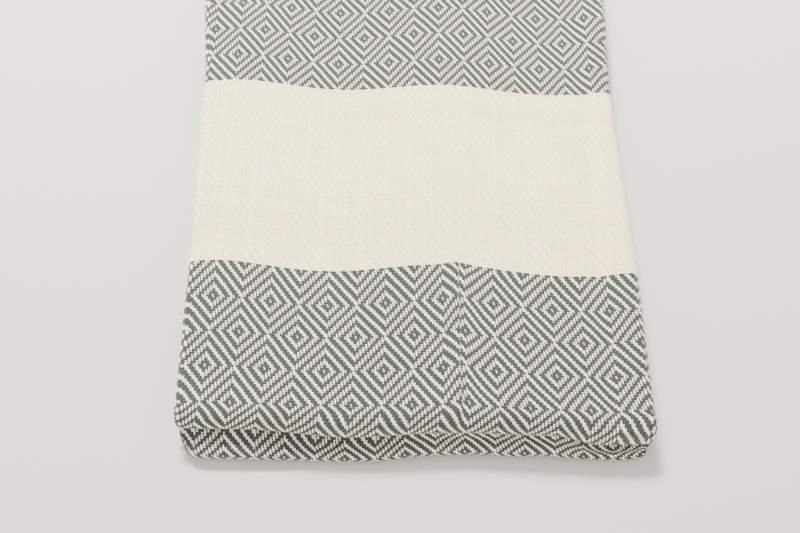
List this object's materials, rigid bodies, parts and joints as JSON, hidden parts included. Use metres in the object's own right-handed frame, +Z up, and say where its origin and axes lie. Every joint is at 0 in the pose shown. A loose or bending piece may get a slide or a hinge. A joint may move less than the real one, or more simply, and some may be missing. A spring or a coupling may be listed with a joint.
{
  "type": "folded golf towel",
  "caption": "Golf towel of diamond twill cotton in grey and cream bands, folded in thirds and then in half across.",
  "frame": {"origin": "under the middle of the folded towel, on the surface it lies on", "axes": "+Z up, +Y from the cross fold towards the hemmed ends, +X to the right as seen from the cross fold"},
  "size_m": [0.135, 0.3096, 0.0123],
  "materials": {
    "towel_cloth": "woven matt cotton",
    "hem_cloth": "woven matt cotton",
    "selvedge_cloth": "woven matt cotton",
    "sewing_thread": "spun thread"
  },
  "bodies": {
    "lower_half": {"cross_fold_left_corner": "towel_cloth", "cross_fold_left_flap_roll": "towel_cloth", "cross_fold_outer_roll": "towel_cloth", "cross_fold_right_corner": "towel_cloth", "cross_fold_right_flap_roll": "towel_cloth", "lower_left_flap": "towel_cloth", "lower_left_flap_hem": "hem_cloth", "lower_left_flap_hem_stitch": "sewing_thread", "lower_left_flap_selvedge": "selvedge_cloth", "lower_left_side_fold": "towel_cloth", "lower_middle_panel": "towel_cloth", "lower_middle_panel_hem": "hem_cloth", "lower_middle_panel_hem_stitch": "sewing_thread", "lower_right_flap": "towel_cloth", "lower_right_flap_hem": "hem_cloth", "lower_right_flap_hem_stitch": "sewing_thread", "lower_right_flap_selvedge": "selvedge_cloth", "lower_right_side_fold": "towel_cloth"},
    "upper_half": {"upper_left_flap": "towel_cloth", "upper_left_flap_hem": "hem_cloth", "upper_left_flap_hem_stitch": "sewing_thread", "upper_left_flap_selvedge": "selvedge_cloth", "upper_left_side_fold": "towel_cloth", "upper_middle_panel": "towel_cloth", "upper_middle_panel_hem": "hem_cloth", "upper_middle_panel_hem_stitch": "sewing_thread", "upper_right_flap": "towel_cloth", "upper_right_flap_hem": "hem_cloth", "upper_right_flap_hem_stitch": "sewing_thread", "upper_right_flap_selvedge": "selvedge_cloth", "upper_right_side_fold": "towel_cloth"}
  },
  "joints": [
    {"name": "cross_fold", "type": "hinge", "parent": "lower_half", "child": "upper_half", "pos_m": [0, -0.1486, 0.00615], "axis": [1, 0, 0], "range_deg": [0, 180], "deforming": ["cross_fold_left_corner", "cross_fold_left_flap_roll", "cross_fold_outer_roll", "cross_fold_right_corner", "cross_fold_right_flap_roll"]}
  ]
}
